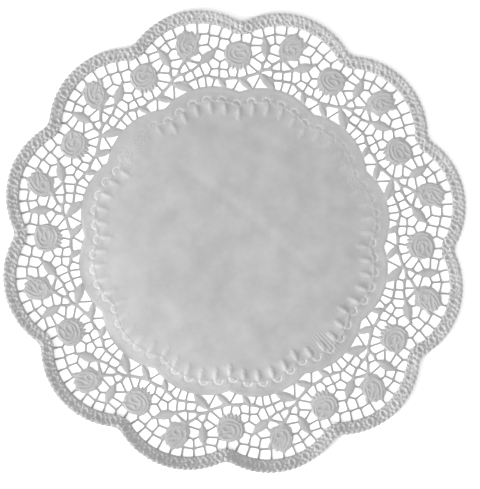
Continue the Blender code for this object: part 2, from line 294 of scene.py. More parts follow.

# Painted shade and highlight: how far the paper's tone goes towards the darker shade colour, as painted shade
# on the thin bars and the motifs, or away from it, as painted highlight on the fold crests, the pleats and
# arches, and the rim; and how wide a bar still counts as thin, in millimetres
MOTIF_SHADE = 0.2
RIM_PAINTED_LIGHT = 0.15
FOLD_HIGHLIGHT = 0.5
TRIM_HIGHLIGHT = 1.1
THIN_BAR = 1.3
BAR_FADE = 1.6
SHADE_AND_HIGHLIGHT = "pressed"  # the mesh attributes that hold this painted shade and highlight, and the stitches
STITCHES = "stitches"

# Rows and columns of points that the mesh follows inside its outlines, in millimetres
RIM_ROWS = (59.7, 58.7, 57.6, 56.5, 55.5, 54.5, 53.4, 52.4, 51.5, 50.6)
RIM_COLUMNS = 12  # in each of the rim's units
RIM_SIDE = 51  # columns on each side of a lobe's peak
RIM_STEPS = 144  # along each lobe's scalloped edge
RIM_PASSES = 4  # to settle that edge, since its scallops move it
CURVE_STEPS = 4  # between two of a curve's places
ROSE_INSETS = (0.6, 1.3)
ROSE_RING_STEPS = 48
LEAF_STEP = 1.3
LEAF_INSET = (0.6, 0.45)  # from its base and from its sides
BROAD_LEAF = 4.0  # a wider leaf than this has more columns
PLEAT_COLUMNS = (-2.4, -1.7, -0.9, 0.0, 0.9, 1.7, 2.4)
PLEAT_ROWS = np.arange(1.0, PLEAT_LENGTH + 1, 0.93)  # inward of the string
ARCH_SWEEP = 105.0  # degrees to each side of its top
ARCH_STEP = 17.5
STRING_ROWS = (-0.9, 0.0, 0.9)
STRING_STEPS = 8  # from each pleat to the next, along the string and the hem
HEM_ROWS = (-HEM_WALL, 0.0, HEM_INSET / 2)
MARGIN_ROWS = (5.5, 8.0)  # outward of the string
MARGIN_STEPS = 3
WRINKLE_ROWS = np.arange(WRINKLE_INNER + 3.0, WRINKLE_OUTER, 2.5)
WRINKLE_STEPS = 4  # across each wrinkle
DISC_SPACING = 3.4
DISC_END = 97.0  # radius at which the pleats' own points take over
LEAST_SPACING = 0.5
EDGE_MARGIN = 0.22
SMOOTH_ANGLE = 50.0  # degrees: sharper edges than this stay sharp

# The stage, in metres
FLOOR_SIZE = 8.0
FLOOR_DROP = 0.0001
FLOOR_ROUGHNESS = 0.9
KEY_PLACE = (-3.7, -2.34, 1.15)
KEY_SIZE = 1.0
KEY_WATTS = 450.0
FILL_STRENGTH = 1.1
CAMERA_PLACE = (0.00441, -0.00219, 3.0)
VIEW_WIDTH = 0.3672
VIEW_END = 50.0
SENSOR_WIDTH = 36.0  # millimetres


def spot(turn, radius):
    """Plane points of polar places, in a frame whose +X runs through the first notch."""
    angle = -np.radians(turn)
    return np.stack((np.cos(angle) * radius, np.sin(angle) * radius), axis=-1)


def polar(points):
    """Turn, in degrees, and radius of each point, in that same frame."""
    return -np.degrees(np.arctan2(points[:, 1], points[:, 0])), np.hypot(points[:, 0], points[:, 1])


def turned(points, degrees):
    """The points turned about the doily's middle, counterclockwise from above."""
    angle = math.radians(degrees)
    cosine, sine = math.cos(angle), math.sin(angle)
    return np.asarray(points) @ np.array(((cosine, sine), (-sine, cosine)))


def with_neighbours(points):
    """The points of one repeat, then those of the repeats on its two sides."""
    return np.concatenate([turned(points, turn) for turn in NEIGHBOURS])


def smooth(value):
    """Rises from 0 to 1, level at both ends."""
    value = np.clip(value, 0.0, 1.0)
    return value * value * (3.0 - 2.0 * value)


def ridge(distance, half):
    """1 on a line, falling smoothly to 0 at half its width away."""
    return smooth(1.0 - np.abs(distance) / half)


def lobe_place(points, middle):
    """Distance and angle of the points about the middle of their lobe's arc."""
    turn, radius = polar(points)
    offset = np.radians(turn % PITCH - PEAK)
    along, across = radius * np.cos(offset) - middle, radius * np.sin(offset)
    return np.hypot(along, across), np.degrees(np.arctan2(across, along))


def lobed_radius(turn, middle, arc):
    """Radius of a lobed outline: arcs centred on the lobes' axes, which meet at the notches."""
    offset = np.radians(turn % PITCH - PEAK)
    return middle * np.cos(offset) + np.sqrt(arc**2 - (middle * np.sin(offset)) ** 2)


def rim_radius(turn, arc):
    """Radius of the rim's outer edge, whose notches are filled a little."""
    return np.maximum(lobed_radius(turn, RIM_MIDDLE, arc), RIM_NOTCH)


def disc_radius(turn, inset):
    """Radius of a line that runs round the disc, this far in from its edge."""
    return lobed_radius(turn, DISC_MIDDLE, DISC_ARC) - inset


def string_radius(turn):
    return disc_radius(turn, STRING_INSET)


def direction(points):
    """Degrees from +X to each point of the whole doily."""
    return np.degrees(np.arctan2(points[:, 1], points[:, 0]))


def smooth_curve(points):
    """A curve through the points, as short straight runs."""
    ends = [2 * points[0] - points[1], *points, 2 * points[-1] - points[-2]]
    run = []
    for a, b, c, d in zip(ends, ends[1:], ends[2:], ends[3:]):
        for t in np.arange(CURVE_STEPS) / CURVE_STEPS:
            bend = (2 * a - 5 * b + 4 * c - d) * t**2 + (3 * b - a - 3 * c + d) * t**3
            run.append(b + (c - a) * t / 2 + bend / 2)
    return np.array([*run, points[-1]])


# --- The lace: what bounds its gaps
def rose_local(points, rose, repeat):
    """The points measured clockwise and outward of the rose's middle, along its lean."""
    local = turned(points - turned(spot(rose.turn, rose.radius), repeat), rose.turn + rose.lean - repeat)
    return np.stack((-local[:, 1], local[:, 0]), axis=-1)


def rose_from_local(local, rose):
    """Places in the first repeat of points measured clockwise and outward of the rose's middle."""
    points = np.stack((local[:, 1], -local[:, 0]), axis=-1)
    return turned(points, -rose.turn - rose.lean) + spot(rose.turn, rose.radius)


def rose_edge(angle):
    """Size of a rose at each angle, as a share of its full size."""
    return 1 - PETAL_SCALLOP * (1 - np.abs(np.cos(PETALS * angle / 2)))


def rose_size(local):
    return (np.abs(local) ** ROSE_SQUARENESS).sum(axis=-1) ** (1 / ROSE_SQUARENESS)


def rose_room(points, rose, repeat):
    local = rose_local(points, rose, repeat) / (rose.across, rose.along)
    across = local[:, 0] / (1 - rose.narrow * local[:, 1].clip(-1, 1))
    along = local[:, 1] / (1 + rose.skew * local[:, 0].clip(-1, 1))
    size = rose_size(np.stack((across, along), axis=-1))
    return (size / rose_edge(np.arctan2(along, across)) - 1) * min(rose.across, rose.along)


def leaf_ends(leaf, repeat):
    base, tip = spot(leaf.base_turn, leaf.base_radius), spot(leaf.tip_turn, leaf.tip_radius)
    return turned(base, repeat), turned(tip, repeat)


def leaf_room(points, leaf, repeat):
    """Distance from the leaf, which two arcs bound."""
    base, tip = leaf_ends(leaf, repeat)
    axis = tip - base
    length = np.linalg.norm(axis)
    arc = (length**2 + leaf.width**2) / (4 * leaf.width)
    side = np.array((-axis[1], axis[0])) / length * (arc - leaf.width / 2)
    middle = (base + tip) / 2
    from_one = np.linalg.norm(points - middle - side, axis=1)
    from_other = np.linalg.norm(points - middle + side, axis=1)
    return np.maximum(from_one, from_other) - arc


def stem_run(stem, repeat):
    return turned(smooth_curve([spot(*place) for place in stem.places]), repeat)


def run_distance(points, run):
    """Distance of each point from a run of straight pieces."""
    start, step = run[:-1], np.diff(run, axis=0)
    along = ((points[:, None] - start) * step).sum(axis=2) / (step**2).sum(axis=1)
    nearest = start + np.clip(along, 0, 1)[:, :, None] * step
    return np.linalg.norm(points[:, None] - nearest, axis=2).min(axis=1)


def stem_room(points, run, half):
    return run_distance(points, run) - half


def rim_room(points):
    inside_lobe = RIM_INNER_ARC - lobe_place(points, RIM_INNER_MIDDLE)[0]
    return np.maximum(inside_lobe, RIM_NOTCH_INSIDE - polar(points)[1])


def disc_room(points):
    return lobe_place(points, DISC_MIDDLE)[0] - DISC_ARC


def bar_room(points, own, other):
    """Distance from the edge of the bar between two gaps' centres, on the side of its own."""
    apart = other - own
    beyond = ((own + other) / 2 - points) @ apart / np.linalg.norm(apart)
    return beyond - BAR_WIDTH / 2


def lace_bounds():
    """The distance functions of the rim, the disc, and the roses, leaves and stems of three repeats."""
    bounds = [rim_room, disc_room]
    for repeat in NEIGHBOURS:
        bounds.extend(partial(rose_room, rose=rose, repeat=repeat) for rose in ROSES)
        bounds.extend(partial(leaf_room, leaf=leaf, repeat=repeat) for leaf in (*LEAVES, *SEPALS))
        bounds.extend(partial(stem_room, run=stem_run(stem, repeat), half=stem.width / 2) for stem in STEMS)
    return bounds


def gap_centres():
    return np.array([spot(*place) for place in (*RIM_GAPS, *NET_GAPS)])


def ray_angles():
    return np.arange(GAP_RAYS) * math.tau / GAP_RAYS


def gap_reach(centre, others, bounds):
    """How far the gap reaches on each ray, found by walking out from its centre."""
    rays = np.column_stack((np.cos(ray_angles()), np.sin(ray_angles())))
    near = [bound for bound in bounds if bound(centre[None])[0] < GAP_REACH]
    near.extend(partial(bar_room, own=centre, other=other) for other in others
                if np.linalg.norm(other - centre) < 2 * GAP_REACH)
    reach = np.zeros(GAP_RAYS)
    for _ in range(GAP_STEPS):
        points = centre + rays * reach[:, None]
        room = np.array([bound(points) for bound in near])
        reach -= GAP_CORNER * np.log(np.exp(-room / GAP_CORNER).sum(axis=0)) * GAP_PACE
    return reach


def all_gaps():
    """The centre of each gap of one repeat and its reach on each ray."""
    bounds, centres = lace_bounds(), gap_centres()
    around = with_neighbours(centres)
    gaps = []
    for i, centre in enumerate(centres):
        gaps.append((centre, gap_reach(centre, np.delete(around, i, axis=0), bounds)))
    return gaps


def gap_outline(centre, reach):
    return centre + np.column_stack((np.cos(ray_angles()), np.sin(ray_angles()))) * reach[:, None]


def kept_between(points, first, last, tolerance):
    """Which points between two others keep the run within the tolerance."""
    run = points[last] - points[first]
    between = points[first + 1:last] - points[first]
    if len(between) == 0:
        return []
    off = np.abs(between[:, 0] * run[1] - between[:, 1] * run[0]) / np.linalg.norm(run)
    if off.max() < tolerance:
        return []
    worst = first + 1 + int(off.argmax())
    before = kept_between(points, first, worst, tolerance)
    after = kept_between(points, worst, last, tolerance)
    return [*before, worst, *after]


def thinned(outline):
    """The outline with only the points that its shape needs."""
    start = int(np.linalg.norm(outline - outline.mean(axis=0), axis=1).argmax())
    ring = np.roll(outline, -start, axis=0)
    ring = np.concatenate((ring, ring[:1]))
    half = int(np.linalg.norm(ring - ring[0], axis=1).argmax())
    out = kept_between(ring, 0, half, GAP_TOLERANCE)
    back = kept_between(ring, half, len(ring) - 1, GAP_TOLERANCE)
    return ring[[0, *out, half, *back]]


def edge_distances(points, gaps):
    """How far each point is from the nearest two gaps' edges, and less than 0 inside a gap."""
    distances = []
    for centre, reach in gaps:
        for turn in NEIGHBOURS:
            offset = turned(points - turned(centre, turn), -turn)
            angle = np.arctan2(offset[:, 1], offset[:, 0])
            edge = np.interp(angle, ray_angles(), reach, period=math.tau)
            distances.append(np.hypot(offset[:, 0], offset[:, 1]) - edge)
    distances = np.sort(np.array(distances), axis=0)
    return distances[0], distances[1]


# --- The relief: its height at each point of one repeat
def dots(across, along, half):
    """Round-topped dots of the half size given."""
    return ridge(np.hypot(across, along), half)


def band_share(points, start, end):
    """Rises from 0 to 1 over the rim, between two distances from the middle of its lobe's arc."""
    distance = lobe_place(points, RIM_MIDDLE)[0]
    return np.clip((distance - start) / (end - start), 0, 1) * (polar(points)[1] > RIM_NOTCH_INSIDE - 1)


def on_rim(points):
    return smooth(band_share(points, RIM_START, RIM_WHOLE))


def rim_height(points):
    """Beads along both edges of the rim, and between them hollow rings with a pair of dots between."""
    radius, angle = lobe_place(points, RIM_MIDDLE)
    unit = angle / RIM_UNIT
    mm_in_unit = np.radians(RIM_UNIT) * radius
    bead = ((unit * RIM_BEADS) % 1.0 - 0.5) / RIM_BEADS * mm_in_unit
    beads = np.maximum(dots(bead, radius - OUTER_BEADS, OUTER_BEAD_HALF),
                       dots(bead, radius - INNER_BEADS, INNER_BEAD_HALF))
    from_ring = (unit % 1.0 - 0.5) * mm_in_unit
    oval = np.hypot(from_ring / RING_HALF[0], (radius - RING_ROW) / RING_HALF[1])
    between = (unit % 1.0 + 0.5) % 1.0 * mm_in_unit - mm_in_unit / 2
    outward = radius - RING_ROW
    pair = np.maximum(dots(between, outward - PAIR_SHIFT, PAIR_HALF),
                      dots(between, outward + PAIR_SHIFT, PAIR_HALF))
    raised = np.maximum(BEAD_RISE * beads, RING_RISE * np.maximum(ridge(oval - 1.0, RING_WALL), pair))
    hollow = smooth(oval / RING_HOLLOW)
    return (RIM_BASE * hollow + raised) * on_rim(points)


def fold_runs(rose, repeat):
    """The curves of a rose's folds, in the plane."""
    runs = []
    for fold in rose.folds:
        runs.append(turned(rose_from_local(smooth_curve(list(np.array(fold))), rose), repeat))
    return runs


def rose_height(points, rose, repeat):
    """A low pad with raised folds where its petals curl over."""
    height = ROSE_RISE * smooth(-rose_room(points, rose, repeat) / ROSE_SLOPE)
    near = height > 0
    folds = [ridge(run_distance(points[near], run), FOLD_HALF) for run in fold_runs(rose, repeat)]
    height[near] += FOLD_RISE * np.maximum.reduce(folds)
    return height


def leaf_height(points, leaf, repeat):
    """A low pad with a raised midrib and veins that slant from it towards the tip."""
    base, tip = leaf_ends(leaf, repeat)
    axis = (tip - base) / np.linalg.norm(tip - base)
    local = points - base
    along, across = local @ axis, np.abs(local @ np.array((-axis[1], axis[0])))
    pad = smooth(-leaf_room(points, leaf, repeat) / LEAF_SLOPE)
    veins = 0.5 + 0.5 * np.cos(math.tau * (along - across) / VEIN_PITCH)
    vein_depth = VEIN_DEPTH * veins * smooth(across / MIDRIB_HALF)
    return pad * (LEAF_RISE + MIDRIB_RISE * ridge(across, MIDRIB_HALF) - vein_depth)


def lace_height(points):
    """The highest of all the raised pieces at each point."""
    heights = [rim_height(points)]
    for repeat in NEIGHBOURS:
        heights.extend(rose_height(points, rose, repeat) for rose in ROSES)
        heights.extend(leaf_height(points, leaf, repeat) for leaf in (*LEAVES, *SEPALS))
        runs = [stem_run(stem, repeat) for stem in STEMS]
        heights.extend(STEM_RISE * ridge(run_distance(points, run), STEM_RIDGE_HALF) for run in runs)
    return np.maximum.reduce(heights)


def pleat_height(points):
    """Twisted pleats, the string that they hang from, an arch over each, and the hem of the disc."""
    turn, radius = polar(points)
    nearest = np.round(turn / PLEAT_STEP) * PLEAT_STEP
    across = np.radians(turn - nearest) * radius
    inward = string_radius(nearest) - radius
    middle = inward - PLEAT_LENGTH / 2
    sides = np.abs(across * 2 / PLEAT_WIDTH) ** PLEAT_SIDES
    ends = np.abs(middle * 2 / PLEAT_LENGTH) ** PLEAT_ENDS
    twist = 0.5 + 0.5 * np.cos(math.tau * (inward - TWIST_SLANT * across) / TWIST_PITCH)
    taper = 1 - PLEAT_TAPER * smooth(inward / PLEAT_LENGTH)
    inside = smooth((1 - (sides + ends) ** PLEAT_POWER) / PLEAT_SLOPE)
    pleat = (PLEAT_RISE - TWIST_DEPTH * twist) * taper * inside

    string = STRING_RISE * ridge(radius - string_radius(turn), STRING_HALF)
    outward = radius - disc_radius(turn, HEM_INSET)
    hem = HEM_RISE * smooth(1 + np.minimum(outward / HEM_WALL, -outward / HEM_INSET))
    return np.maximum.reduce((pleat, string, hem)) - ARCH_DEPTH * arch_share(points)


def arch_share(points):
    """1 along the groove of each arch, and 0 away from it."""
    turn, radius = polar(points)
    nearest = np.round((turn - ARCH_SHIFT) / PLEAT_STEP) * PLEAT_STEP + ARCH_SHIFT
    across = np.radians(turn - nearest) * radius
    outward = radius - string_radius(nearest)
    feet = smooth((outward + ARCH_FEET) / ARCH_FEET)
    return ridge(np.hypot(across, outward) - ARCH_RADIUS, ARCH_HALF) * feet


def trim_share(points):
    """1 along the arches, less on the pleats, their string and the hem, and 0 away from them all."""
    return np.maximum(arch_share(points), PLEAT_SHARE * smooth(pleat_height(points) / PLEAT_RISE))


def by_direction(points, degrees, values):
    """Values read off a chart by the direction of each point from the doily's middle."""
    return np.interp(direction(points) % 360, degrees, values)


def press_strength(points):
    return by_direction(points, PRESS_DEGREES, PRESS_DEPTH)


def wrinkle_height(points):
    """Fine wrinkles beside the pleats, where the sheet was pinched."""
    radius, degrees = np.hypot(points[:, 0], points[:, 1]), direction(points)
    rises = smooth((radius - WRINKLE_INNER) / WRINKLE_FADES[0])
    falls = smooth((WRINKLE_OUTER - radius) / WRINKLE_FADES[1])
    where = ridge(degrees - WRINKLE_DEGREES, WRINKLE_SPREAD) * rises * falls
    return WRINKLE_RISE * where * (0.5 + 0.5 * np.cos(math.tau * degrees / WRINKLE_PITCH))


def sheet_height(points):
    """The disc's middle stands a little off the table, with soft creases in it, and the rim curls up."""
    radius = np.hypot(points[:, 0], points[:, 1])
    middle = 1 - np.clip(radius / LIFTED, 0, 1) ** 3
    height = DISC_LIFT * middle * (1 + LIFT_LEAN * (points @ LIFT_TOWARDS) / LIFTED)
    for crease in CREASES:
        run = np.array((crease.start, crease.end))
        ends = smooth(np.linalg.norm(points[:, None] - run, axis=2).min(axis=1) / CREASE_FADE)
        height -= crease.depth * ends * ridge(run_distance(points, run), crease.half)
    lifted = NET_LIFT * smooth((radius - NET_LIFTED[0]) / NET_LIFTED[1])
    curled = by_direction(points, CURL_DEGREES, CURL_HEIGHT) * band_share(folded(points), RIM_START, RIM_ARC)
    return np.maximum(height, 0.0) + lifted + curled


# --- Points that the mesh follows inside its outlines
def rim_places():
    """Columns of points round each lobe, in step with the rim's pattern."""
    angles = np.radians(np.arange(-RIM_SIDE, RIM_SIDE + 1) * RIM_UNIT / RIM_COLUMNS)
    rings = [np.column_stack((np.cos(angles), np.sin(angles))) * row for row in RIM_ROWS]
    return turned(np.concatenate(rings) + (RIM_MIDDLE, 0), -PEAK)


def alongside(run, offset):
    """The run moved sideways."""
    along = np.gradient(run, axis=0)
    side = np.column_stack((-along[:, 1], along[:, 0])) / np.linalg.norm(along, axis=1)[:, None]
    return run + side * offset


def rose_places(rose):
    """Three rows of points along each fold, and two rings inside the rose's edge."""
    rows = [alongside(run, offset) for run in fold_runs(rose, 0.0) for offset in (0.0, FOLD_HALF, -FOLD_HALF)]
    angles = np.arange(ROSE_RING_STEPS) * math.tau / ROSE_RING_STEPS
    edge = np.column_stack((np.cos(angles), np.sin(angles)))
    edge *= (rose_edge(angles) / rose_size(edge))[:, None] * (rose.across, rose.along)
    for inset in ROSE_INSETS:
        rows.append(rose_from_local(edge * (1 - inset / np.linalg.norm(edge, axis=1))[:, None], rose))
    return np.concatenate(rows)


def leaf_places(leaf):
    """Rows of points across the leaf, from its base to its tip."""
    columns = 5 if leaf.width > BROAD_LEAF else 3
    base, tip = leaf_ends(leaf, 0.0)
    axis = tip - base
    length = np.linalg.norm(axis)
    side = np.array((-axis[1], axis[0])) / length
    points = []
    for along in np.arange(LEAF_INSET[0], length, LEAF_STEP):
        half = leaf.width / 2 * (1 - (2 * along / length - 1) ** 2)
        for across in np.linspace(-1.0, 1.0, columns):
            points.append(base + axis / length * along + side * across * (half - LEAF_INSET[1]))
    return np.array(points)


def arch_places(turn):
    """Rows of points along the groove of one arch."""
    angles = np.radians(np.arange(-ARCH_SWEEP, ARCH_SWEEP + 1, ARCH_STEP))
    radius = string_radius(turn)
    rows = []
    for ring in (-ARCH_HALF, 0.0, ARCH_HALF):
        across, outward = np.sin(angles) * (ARCH_RADIUS + ring), np.cos(angles) * (ARCH_RADIUS + ring)
        rows.append(spot(turn + np.degrees(across / radius), radius + outward))
    return rows


def pleat_places():
    """Points over each pleat and its arch, and along the string, the hem and the margin between them."""
    points = []
    across = np.array(PLEAT_COLUMNS)
    for turn in np.arange(0, PITCH, PLEAT_STEP):
        radius = string_radius(turn)
        for inward in PLEAT_ROWS:
            points.append(spot(turn + np.degrees(across / radius), radius - inward))
        points.extend(arch_places(turn + ARCH_SHIFT))
    turns = np.arange(0, PITCH, PLEAT_STEP / STRING_STEPS)
    points.extend(spot(turns, string_radius(turns) + outward) for outward in STRING_ROWS)
    points.extend(spot(turns, disc_radius(turns, HEM_INSET) + outward) for outward in HEM_ROWS)
    turns = np.arange(0, PITCH, PLEAT_STEP / MARGIN_STEPS)
    points.extend(spot(turns, string_radius(turns) + outward) for outward in MARGIN_ROWS)
    return np.concatenate(points)


def disc_places():
    """Even rings of points over the plain middle of the disc."""
    points = []
    for radius in np.arange(DISC_SPACING, DISC_END, DISC_SPACING):
        count = max(1, round(PITCH / math.degrees(DISC_SPACING / radius)))
        points.append(spot(np.arange(count) * PITCH / count, radius))
    return np.concatenate(points)


def wrinkle_places():
    """Rows of points close enough together to follow each wrinkle."""
    first, last = WRINKLE_DEGREES - WRINKLE_SPREAD, WRINKLE_DEGREES + WRINKLE_SPREAD
    degrees, radius = np.meshgrid(np.arange(first, last, WRINKLE_PITCH / WRINKLE_STEPS), WRINKLE_ROWS)
    return spot(-degrees.ravel(), radius.ravel())


def spaced(points):
    """The points without those that crowd another."""
    cells = np.round(points / LEAST_SPACING)
    return points[np.sort(np.unique(cells, axis=0, return_index=True)[1])]


def inner_places(gaps):
    """All the places inside the outlines of one repeat, clear of the gaps and of each other."""
    sets = [rim_places(), pleat_places(), disc_places()]
    sets.extend(rose_places(rose) for rose in ROSES)
    sets.extend(leaf_places(leaf) for leaf in (*LEAVES, *SEPALS))
    sets.extend(stem_run(stem, 0.0) for stem in STEMS)
    points = np.concatenate(sets)
    in_lobe = lobe_place(points, RIM_MIDDLE)[0] < RIM_ARC - RIM_SCALLOP - EDGE_MARGIN
    in_lobe |= polar(points)[1] < RIM_MIDDLE
    points = points[in_lobe & (edge_distances(points, gaps)[0] > EDGE_MARGIN)]
    return spaced(points)


def rim_outline():
    """The edge of one lobe, scalloped in step with its outer beads."""
    turns = np.arange(RIM_STEPS) * PITCH / RIM_STEPS
    arc = RIM_ARC
    for _ in range(RIM_PASSES):
        angle = lobe_place(spot(turns, rim_radius(turns, arc)), RIM_MIDDLE)[1]
        arc = RIM_ARC - RIM_SCALLOP * (1 - np.abs(np.sin(math.pi * RIM_BEADS * angle / RIM_UNIT)))
    return spot(turns, rim_radius(turns, arc))


# --- The sheet
def all_round(points):
    """The points of one repeat, and the other repeats in turn round the doily."""
    return [turned(points, FIRST_NOTCH - PITCH * repeat) for repeat in range(REPEATS)]


def folded(points):
    """Points of the whole doily, turned back into the first repeat."""
    turn, radius = polar(turned(points, -FIRST_NOTCH))
    return spot(turn % PITCH, radius)


def triangles(points, rings):
    """Triangles between the points, inside the first ring and outside the others."""
    edges = []
    for ring in rings:
        edges.extend(zip(ring, (*ring[1:], ring[0])))
    _, _, found, origins, _, inside = delaunay_2d_cdt(points.tolist(), edges, rings, 0, 1e-6)
    return [[origins[corner][0] for corner in face] for face, where in zip(found, inside) if where == [0]]


def doily_layer():
    """The sheet's underside: its points in the plane, the gaps of one repeat, and its triangles."""
    gaps = all_gaps()
    outlines = [np.concatenate(all_round(rim_outline()))[::-1]]
    for gap in gaps:
        outlines.extend(all_round(thinned(gap_outline(*gap))))
    starts = np.cumsum([0, *(len(outline) for outline in outlines)]).tolist()
    rings = [list(range(a, b)) for a, b in zip(starts, starts[1:])]
    inner = spaced(np.concatenate((*all_round(inner_places(gaps)), wrinkle_places())))
    points = np.concatenate((*outlines, inner))
    return points, gaps, triangles(points, rings)


def relief(points, lace, strength):
    """Height of the sheet's underside over the table."""
    pressed = pleat_height(folded(points)) * press_strength(points)
    height = (lace + pressed) * strength + wrinkle_height(points) + sheet_height(points)
    return np.maximum(height, 0.0)


def painted_shade_and_highlight(points, lace, gaps):
    """Painted shade and highlight: 1 as painted shade on the thin bars, less on the motifs, and below 0 as
    painted highlight on fold crests, pleats, arches and the rim.
    """
    repeat = folded(points)
    near, next_near = edge_distances(repeat, gaps)
    # Painted shade: the thin bars are painted darker, for the shade along their cut edges
    bars = 1 - smooth((np.maximum(near, 0) + np.maximum(next_near, 0) - THIN_BAR) / BAR_FADE)
    # Painted shade: the roses, leaves and stems are painted a little darker, off the rim
    motifs = MOTIF_SHADE * smooth(lace / ROSE_RISE) * (1 - on_rim(repeat))
    # Painted highlight: the crests of the roses' folds are painted lighter
    folds = FOLD_HIGHLIGHT * smooth((lace - ROSE_RISE) / FOLD_RISE) * (1 - on_rim(repeat))
    # Painted highlight on the arches and pleats' crests, as strong as they are pressed, and painted light
    # that makes the whole rim lighter against its relief's shade
    highlights = TRIM_HIGHLIGHT * press_strength(points) * trim_share(repeat) + RIM_PAINTED_LIGHT * on_rim(repeat)
    return np.maximum(bars, motifs) - folds - highlights


def stitch_places(points, lace):
    """Places along and across the rim, or over the rest of the sheet, and how strongly stitches show."""
    repeat = folded(points)
    radius, angle = lobe_place(repeat, RIM_MIDDLE)
    rim = on_rim(repeat)
    along = np.radians(np.abs(angle)) * RING_ROW
    where = np.where(rim[:, None] > 0, np.column_stack((along, radius)), points)
    motifs = MOTIF_STITCHES * smooth(lace / ROSE_RISE)
    press = press_strength(points)
    arches = ARCH_STITCHES * press * trim_share(repeat)
    inward = string_radius(polar(repeat)[0]) - polar(repeat)[1]
    in_band = smooth((inward + BAND_START) / BAND_FADES[0]) * smooth((PLEAT_LENGTH - inward) / BAND_FADES[1])
    band = BAND_STITCHES * (1 - press).clip(0, 1) * in_band
    return np.column_stack((where * MM, np.maximum.reduce((rim, motifs, arches, band))))


# --- Materials
def linear(hex_colour):
    """The linear colour of an sRGB hex value."""
    channels = [int(hex_colour[i:i + 2], 16) / 255 for i in (1, 3, 5)]
    return tuple(c / 12.92 if c <= 0.04045 else ((c + 0.055) / 1.055) ** 2.4 for c in channels)


def add_node(tree, kind, settings, links):
    """Adds a node, sets its fields and sockets, and links its inputs from other nodes' outputs."""
    node = tree.nodes.new(kind)
    for name, value in settings.items():
        if isinstance(name, str) and name in node.bl_rna.properties:
            setattr(node, name, value)
        else:
            node.inputs[name].default_value = value
    for name, output in links.items():
        tree.links.new(output, node.inputs[name])
    return node


def plain_material(name, colour, roughness):
    material = bpy.data.materials.new(name)
    material.use_nodes = True
    shader = material.node_tree.nodes["Principled BSDF"]
    shader.inputs["Base Color"].default_value = (*colour, 1.0)
    shader.inputs["Roughness"].default_value = roughness
    return material, shader


def stitch_bump(tree, fibre_bump):
    """Small rounded stitches, where the die copies crochet; the mesh holds their places and strength."""
    place = add_node(tree, "ShaderNodeAttribute", {"attribute_name": STITCHES}, {}).outputs["Vector"]
    strength = add_node(tree, "ShaderNodeSeparateXYZ", {}, {"Vector": place}).outputs["Z"]
    look = {"voronoi_dimensions": "2D", "feature": "SMOOTH_F1", "Scale": 1 / STITCH_SIZE, "Smoothness": 0.3,
            "Randomness": 0.75}
    cells = add_node(tree, "ShaderNodeTexVoronoi", look, {"Vector": place}).outputs["Distance"]
    height = add_node(tree, "ShaderNodeMath", {"operation": "MULTIPLY"}, {0: cells, 1: strength}).outputs[0]
    return add_node(tree, "ShaderNodeBump", {"invert": True, "Strength": 1.0, "Distance": STITCH_RISE},
                    {"Height": height, "Normal": fibre_bump}).outputs[0]


def paper_tone(tree, place, colour, shade_colour):
    """The paper's colour: painted darker towards the shade colour on the thin bars and motifs, painted
    lighter as highlight on crests, pleats, arches and the rim, and a little cloudy.
    """
    pressed = add_node(tree, "ShaderNodeAttribute", {"attribute_name": SHADE_AND_HIGHLIGHT}, {}).outputs["Fac"]
    mixed = {"data_type": "RGBA", "clamp_factor": False, 6: (*colour, 1.0), 7: (*shade_colour, 1.0)}
    tone = add_node(tree, "ShaderNodeMix", mixed, {0: pressed}).outputs[2]
    cloud = add_node(tree, "ShaderNodeTexNoise", {"Scale": 1 / CLOUD_SIZE, "Detail": 4.0, "Roughness": 0.6},
                     {"Vector": place}).outputs["Fac"]
    shade = add_node(tree, "ShaderNodeMapRange", {1: 0.3, 2: 0.7, 3: 1 - CLOUD_TONE, 4: 1 + CLOUD_TONE},
                     {0: cloud}).outputs[0]
    return add_node(tree, "ShaderNodeVectorMath", {"operation": "SCALE"},
                    {0: tone, "Scale": shade}).outputs[0]


def embossed_paper(colour, shade_colour):
    """Uncoated paper, die-cut and embossed: matt, faintly cloudy, with a short fibre that dulls its shine."""
    material, shader = plain_material("embossed doily paper", colour, PAPER_ROUGHNESS)
    shader.inputs["IOR"].default_value = PAPER_IOR
    tree = material.node_tree
    place = add_node(tree, "ShaderNodeTexCoord", {}, {}).outputs["Object"]
    tree.links.new(paper_tone(tree, place, colour, shade_colour), shader.inputs["Base Color"])
    fibre = add_node(tree, "ShaderNodeTexNoise", {"Scale": 1 / FIBRE_SIZE, "Detail": 2.0}, {"Vector": place})
    bump = add_node(tree, "ShaderNodeBump", {"Strength": 0.25, "Distance": FIBRE_RISE},
                    {"Height": fibre.outputs["Fac"]})
    tree.links.new(stitch_bump(tree, bump.outputs[0]), shader.inputs["Normal"])
    return material


# --- The add-on
class DoilySettings(bpy.types.PropertyGroup):
    thickness: bpy.props.FloatProperty(
        name="Paper Thickness", description="Thickness of the paper",
        default=0.00025, min=0.0001, max=0.001, unit="LENGTH", precision=5)
    emboss: bpy.props.FloatProperty(
        name="Emboss", description="Depth of the relief, as a share of a full press",
        default=1.0, min=0.0, max=1.2, subtype="FACTOR")
    paper: bpy.props.FloatVectorProperty(
        name="Paper", description="Colour of the paper",
        default=linear("#969696"), min=0.0, max=1.0, size=3, subtype="COLOR")
    # The darker tone that the paper is painted towards, as painted shade on the thin bars and the motifs
    bars: bpy.props.FloatVectorProperty(
        name="Bars", description="Colour of the thin bars of the net",
        default=linear("#7E7E7E"), min=0.0, max=1.0, size=3, subtype="COLOR")
    floor: bpy.props.FloatVectorProperty(
        name="Floor", description="Colour of the floor",
        default=linear("#FAFAFA"), min=0.0, max=1.0, size=3, subtype="COLOR")


